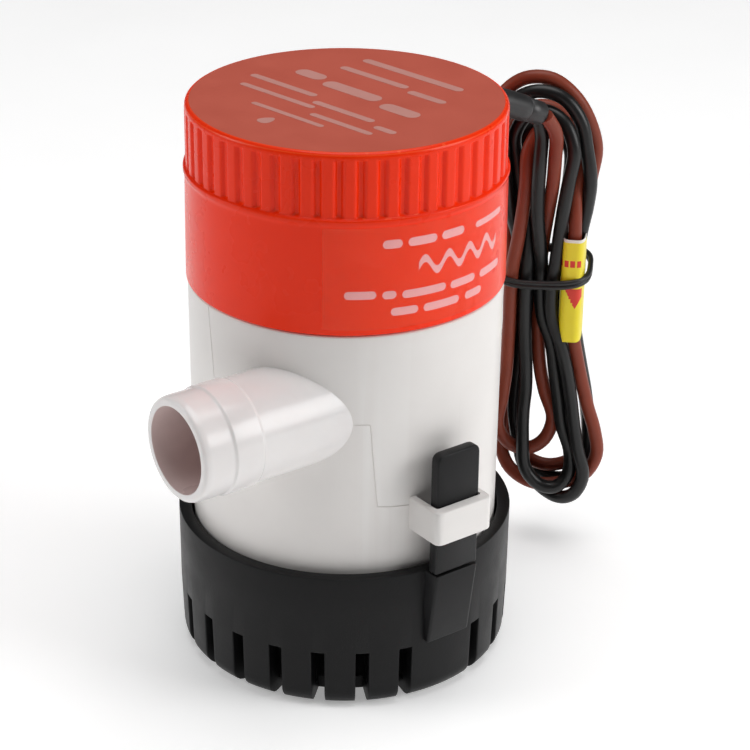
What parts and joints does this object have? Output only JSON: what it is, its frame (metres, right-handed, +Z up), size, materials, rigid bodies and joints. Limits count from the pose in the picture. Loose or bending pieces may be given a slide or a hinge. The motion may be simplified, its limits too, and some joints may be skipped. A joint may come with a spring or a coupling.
{
  "type": "bilge pump",
  "caption": "Submersible bilge pump with a slotted snap-off strainer base, a side hose tail, a knurled motor cap and a coiled wire lead.",
  "frame": {"origin": "on the pump's vertical axis, at the flat underside of the strainer base", "axes": "+Z up along the pump's axis, -Y along the hose tail, +X and -X through the two snap legs, +Y towards the cable gland"},
  "size_m": [0.0746, 0.1156, 0.11],
  "materials": {
    "base_black": "moulded ABS, satin black",
    "housing_white": "moulded ABS, warm white, satin",
    "cap_orange": "moulded ABS, bright orange, glossy",
    "rubber_black": "matt nitrile rubber",
    "steel": "zinc plated or stainless steel",
    "bronze": "sintered bronze",
    "copper": "enamelled copper wire",
    "ferrite": "sintered ferrite",
    "carbon": "pressed carbon",
    "wire_brown": "brown PVC insulation, satin",
    "wire_black": "black PVC insulation, satin",
    "tag_yellow": "laminated paper label"
  },
  "bodies": {
    "strainer": {"strainer_base": "base_black"},
    "leg_right": {"snap_leg_right": "base_black"},
    "leg_left": {"snap_leg_left": "base_black"},
    "pump": {"pump_housing": "housing_white", "cap_o_ring": "rubber_black", "motor_cap": "cap_orange", "intake_plate": "housing_white", "plate_screw_1": "steel", "plate_screw_2": "steel", "plate_screw_3": "steel", "motor_pod": "base_black", "shaft_seal": "rubber_black", "motor_can": "steel", "lower_bearing": "bronze", "upper_bearing": "bronze", "end_bell": "base_black", "magnet_right": "ferrite", "magnet_left": "ferrite", "brush_1": "carbon", "brush_2": "carbon", "brush_spring_1": "copper", "brush_spring_2": "copper", "cable_gland": "rubber_black", "cable_sleeve": "rubber_black", "lead_brown": "wire_brown", "lead_black": "wire_black", "inner_lead_brown": "wire_brown", "inner_lead_black": "wire_black", "wire_hank": "wire_black", "lead_tag": "tag_yellow", "hank_tie": "rubber_black"},
    "rotor": {"impeller": "housing_white", "shaft": "steel", "armature_core": "steel", "armature_winding": "copper", "commutator": "copper"}
  },
  "joints": [
    {"name": "pump_lift", "type": "slide", "parent": "strainer", "child": "pump", "axis": [0, 0, 1], "range_m": [0, 0.05]},
    {"name": "rotor_spin", "type": "hinge", "parent": "pump", "child": "rotor", "pos_m": [0, 0, 0.05], "axis": [0, 0, 1], "continuous": true},
    {"name": "leg_right_flex", "type": "hinge", "parent": "strainer", "child": "leg_right", "pos_m": [0.0339, 0, 0.0283], "axis": [0, -1, 0], "range_deg": [0, 3], "stiffness_Nm_per_rad": 0.3},
    {"name": "leg_left_flex", "type": "hinge", "parent": "strainer", "child": "leg_left", "pos_m": [-0.0339, 0, 0.0283], "axis": [0, 1, 0], "range_deg": [0, 3], "stiffness_Nm_per_rad": 0.3}
  ]
}
